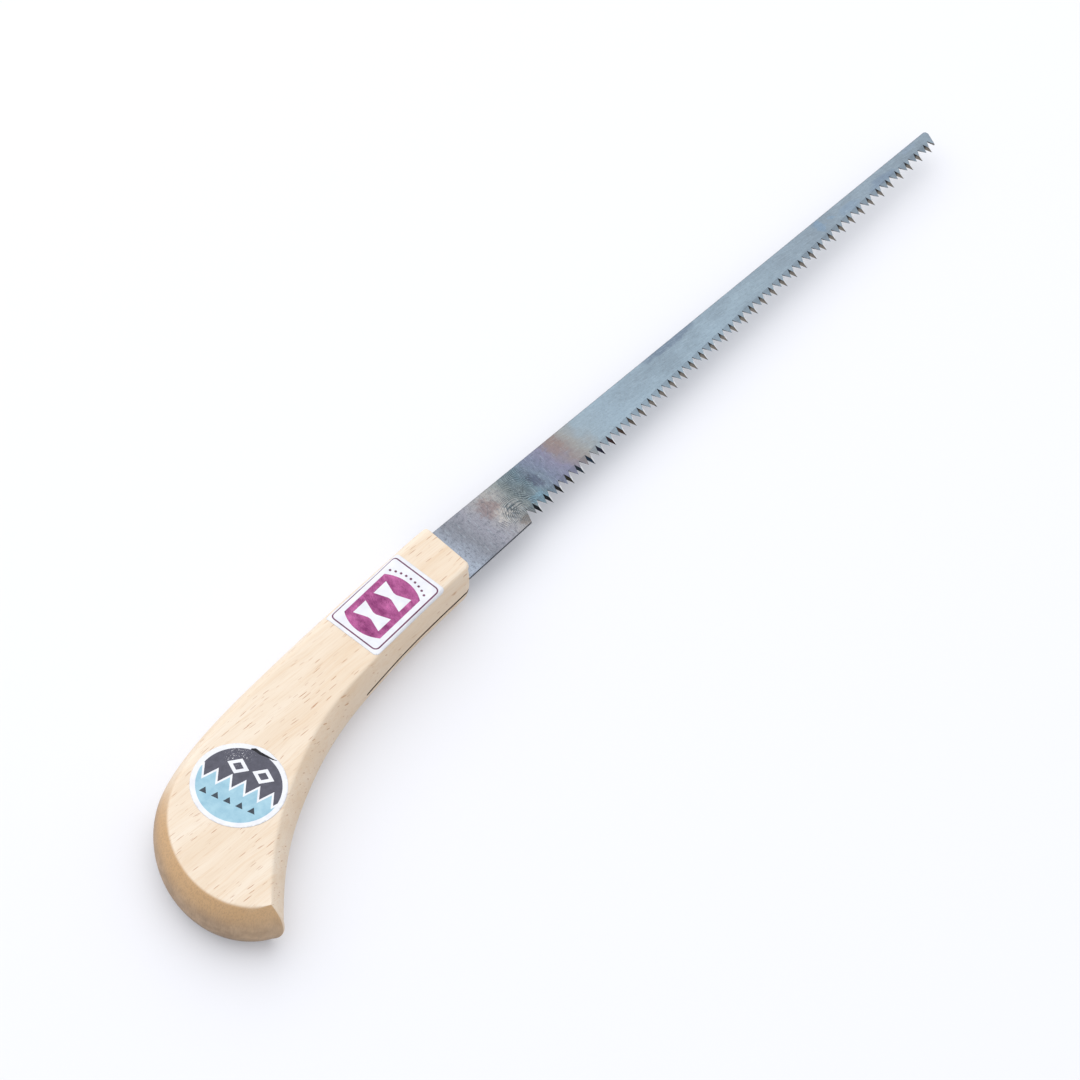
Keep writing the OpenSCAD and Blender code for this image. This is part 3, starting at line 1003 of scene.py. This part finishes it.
def build_maker_label():
    """White paper with a thin frame, a barrel-shaped foil panel and two butterfly-key shapes."""
    centre, turn = (-30.1, -12.5), 3.9
    length, width = 33.6, 21.8
    panel_mid, panel_half, panel_h, bulge = -1.4, 9.6, 7.35, 2.5
    radius = (panel_h**2 + bulge**2) / (2 * bulge)
    spread = math.degrees(math.asin(panel_h / radius))
    right = arc((panel_mid + panel_half + bulge - radius, 0), radius, -spread, spread, 16)
    left = arc((panel_mid - panel_half - bulge + radius, 0), radius, 180 - spread, 180 + spread, 16)
    shapes = [
        (rounded_box(31.0, 19.2, 1.8), 1),
        (rounded_box(30.0, 18.2, 1.3), 0),
        (right + left, 2),
    ]

    def butterfly(at_x, tall, wide, waist):
        half, mid = tall / 2, wide / 2
        points = [
            (-mid, half), (-waist, 0.6), (-waist, -0.6), (-mid, -half),
            (mid, -half), (waist, -0.6), (waist, 0.6), (mid, half),
        ]
        return [(at_x + x, y) for x, y in points]

    for at_x in (panel_mid - 4.9, panel_mid + 4.9):
        shapes.append((butterfly(at_x, 10.4, 6.0, 1.2), 0))
    mark_r = radius + 1.7
    middle = (panel_mid + panel_half + bulge - radius, 0)
    for k in range(-4, 5):
        dot = arc((mark_r, 0), 0.45, 0, 360, 8)[:-1]
        shapes.append((moved(dot, middle, k * 7.6), 1))
    paper = printed_paper("maker_paper", rgb(216, 217, 222), rgb(227, 228, 232))
    maroon = printed_paper("maroon_ink", rgb(88, 30, 66), rgb(110, 44, 84))
    foil = printed_paper(
        "magenta_foil", rgb(126, 42, 100), rgb(190, 100, 156), 0.22, 0.5, (0.26, 0.16, 0.3), 1.0, 0.35
    )
    outline = rounded_box(length, width, 1.6)
    inks = (paper, maroon, foil)
    return build_label(
        "printed_maker_label", "maker_label", outline, shapes, inks, centre, turn
    )


def build_round_label():
    """A round label: a dark half and a pale blue half, parted by a white saw-tooth line."""
    centre = (-109.7, -28.3)
    radius, field_r = 15.0, 13.3
    axis_turn = -71.0
    outline = arc((0, 0), radius, 0, 360, 96)[:-1]
    field = arc((0, 0), field_r, 0, 360, 80)[:-1]
    pitch, tall = 4.7, 2.3
    zigzag = []
    for k in range(-3, 4):
        zigzag += [(k * pitch - 0.9, 1.0 - tall), (k * pitch + 2.0, 1.0 + tall)]
    zigzag = moved(zigzag, (-1.4, 0.4), axis_turn)
    far = 40
    beyond = moved([(far, 0), (far, far), (-far, far), (-far, 0)], (0, 0), axis_turn)

    def clipped(polygon):
        """The part of a polygon inside the round field."""
        kept = []
        for (x0, y0), (x1, y1) in zip(polygon, polygon[1:] + polygon[:1]):
            steps = max(1, int(math.hypot(x1 - x0, y1 - y0) / 0.5))
            for m in range(steps):
                x = x0 + (x1 - x0) * m / steps
                y = y0 + (y1 - y0) * m / steps
                away = math.hypot(x, y)
                shrink = min(1.0, field_r / away) if away else 1.0
                kept.append((x * shrink, y * shrink))
        return kept

    navy = clipped(zigzag + beyond)
    line = clipped(ribbon(zigzag, 0.62))
    shapes = [(field, 1), (navy, 2), (line, 0)]

    def diamond(size):
        return [(size, 0), (0, size * 0.8), (-size, 0), (0, -size * 0.8)]

    for spot in ((4.7, 5.0), (7.6, -2.9)):
        shapes.append((moved(diamond(3.7), spot, axis_turn), 0))
        shapes.append((moved(diamond(1.9), spot, axis_turn), 2))
    for k in range(5):
        spot = (-8.9 + 1.35 * k, 6.2 - 3.85 * k)
        shapes.append((moved([(-1.25, -0.85), (1.25, -0.85), (0.0, 1.35)], spot, axis_turn), 3))
    # A dark sliver along the crease is a painted shadow under the lifted edge.
    crease = [(11.8, 6.6), (12.5, 5.6), (12.7, 3.4), (13.2, 1.8), (13.9, -0.6), (14.6, -1.9)]
    widths = (0.25, 0.5, 0.42, 0.3, 0.22, 0.05)
    upper = [(x + w, y + w * 0.3) for (x, y), w in zip(crease, widths)]
    lower = [(x - w, y - w * 0.3) for (x, y), w in zip(crease, widths)]
    shapes.append((upper + lower[::-1], 4))

    def lift(x, y):
        """The label's edge at the right stands a little proud of the wood, lifted along its crease."""
        turn = math.degrees(math.atan2(y, x))
        away = math.hypot(x, y)
        along = smooth(1 - abs(turn - 11) / 20)
        return 0.45 * along * smooth((away - 12.6) / 1.6)

    paper = printed_paper("round_paper", rgb(220, 221, 225), rgb(230, 231, 234))
    blue = printed_paper("pale_blue_ink", rgb(138, 180, 198), rgb(158, 196, 210))
    navy_ink = scuffed_ink(
        "charcoal_ink", rgb(58, 58, 72), rgb(76, 76, 90), rgb(225, 225, 228), (-101.5, -20.5), (4.5, 3.4)
    )
    dark = printed_paper("dark_ink", rgb(30, 44, 56), rgb(42, 58, 70))
    crease_shadow = printed_paper("painted_crease_shadow", rgb(22, 22, 26), rgb(40, 40, 44), 0.8)
    inks = (paper, blue, navy_ink, dark, crease_shadow)
    return build_label(
        "printed_round_label", "tooth_label", outline, shapes, inks, centre, 0.0, lift
    )


# ---------------------------------------------------------------- the scene

def floor():
    """A wide pale floor under the saw."""
    bpy.ops.mesh.primitive_plane_add(size=8, location=(0, 0, HANDLE_LOW.z))
    made = bpy.context.active_object
    made.name = "floor"
    s = Shader("white_floor")
    s.surface.inputs["Base Color"].default_value = (0.63, 0.63, 0.645, 1)
    s.surface.inputs["Emission Color"].default_value = (0.90, 0.93, 1.0, 1)
    s.surface.inputs["Emission Strength"].default_value = 0.22
    s.surface.inputs["Roughness"].default_value = 0.9
    s.surface.inputs["Specular IOR Level"].default_value = 0.2
    made.data.materials.append(s.material)


def area_light(name, toward, distance, size, power, color=(1, 1, 1)):
    """A soft square light that faces the saw from a direction."""
    data = bpy.data.lights.new(name, "AREA")
    data.size = size
    data.energy = power
    data.color = color
    made = bpy.data.objects.new(name, data)
    direction = Vector(toward).normalized()
    made.location = direction * distance
    made.rotation_euler = direction.to_track_quat("Z", "Y").to_euler()
    bpy.context.scene.collection.objects.link(made)


def camera():
    """The camera looks down at the front of the handle, from behind the saw and the tooth side."""
    azimuth, elevation, roll = (math.radians(a) for a in (-53.67, 55.66, 8.71))
    distance = 1.6776
    target = place(28.1, -25.2, 10.0)
    outward = math.cos(elevation)
    back = Vector((math.sin(azimuth) * outward, -math.cos(azimuth) * outward, math.sin(elevation)))
    data = bpy.data.cameras.new("camera")
    data.sensor_width = 36
    data.lens = 176.2
    made = bpy.data.objects.new("camera", data)
    level_right = Vector((0, 0, 1)).cross(back).normalized()
    level_up = back.cross(level_right)
    right = level_right * math.cos(roll) + level_up * math.sin(roll)
    up = back.cross(right)
    made.matrix_world = Matrix.Translation(target + back * distance) @ Matrix((
        (right.x, up.x, back.x, 0), (right.y, up.y, back.y, 0), (right.z, up.z, back.z, 0), (0, 0, 0, 1)
    ))
    bpy.context.scene.collection.objects.link(made)
    bpy.context.scene.camera = made


def studio_world():
    """A soft sky, brightest above and behind the saw, and dim round the camera's side."""
    world = bpy.data.worlds.new("studio")
    world.use_nodes = True
    tree = world.node_tree
    coords = tree.nodes.new("ShaderNodeTexCoord")
    toward = tree.nodes.new("ShaderNodeVectorMath")
    toward.operation = "DOT_PRODUCT"
    toward.inputs[1].default_value = Vector((0.05, 0.4, 0.92)).normalized()
    ramp = tree.nodes.new("ShaderNodeMapRange")
    ramp.inputs["From Min"].default_value = -0.1
    ramp.inputs["From Max"].default_value = 0.9
    ramp.inputs["To Min"].default_value = 0.42
    ramp.inputs["To Max"].default_value = 1.2
    tree.links.new(coords.outputs["Generated"], toward.inputs[0])
    tree.links.new(toward.outputs["Value"], ramp.inputs["Value"])
    background = tree.nodes["Background"]
    background.inputs["Color"].default_value = (0.94, 0.955, 1.0, 1)
    tree.links.new(ramp.outputs["Result"], background.inputs["Strength"])
    return world


wood = beech()
build_handle(wood, kerf_wood())
edge_steel = plain_steel("edge_steel", rgb(52, 54, 60), rgb(84, 88, 96), 0.35)
build_blade(blade_plate(), dark_reflection_flank(), painted_glint_flank(), edge_steel, blade_plate("shaded_tooth_face", 0.28))
build_maker_label()
build_round_label()
wire = plain_steel("nail_wire", rgb(120, 118, 116), rgb(160, 160, 162), 0.3)
for pin in ("front_pin", "rear_pin"):
    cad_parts[pin].data.materials.clear()
    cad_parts[pin].data.materials.append(wire)

floor()
camera()
area_light("key", (0.1, 0.5, 1.0), 1.6, 2.4, 16, (1.0, 0.99, 0.97))
bpy.context.scene.world = studio_world()
bpy.context.scene.view_settings.view_transform = "Standard"
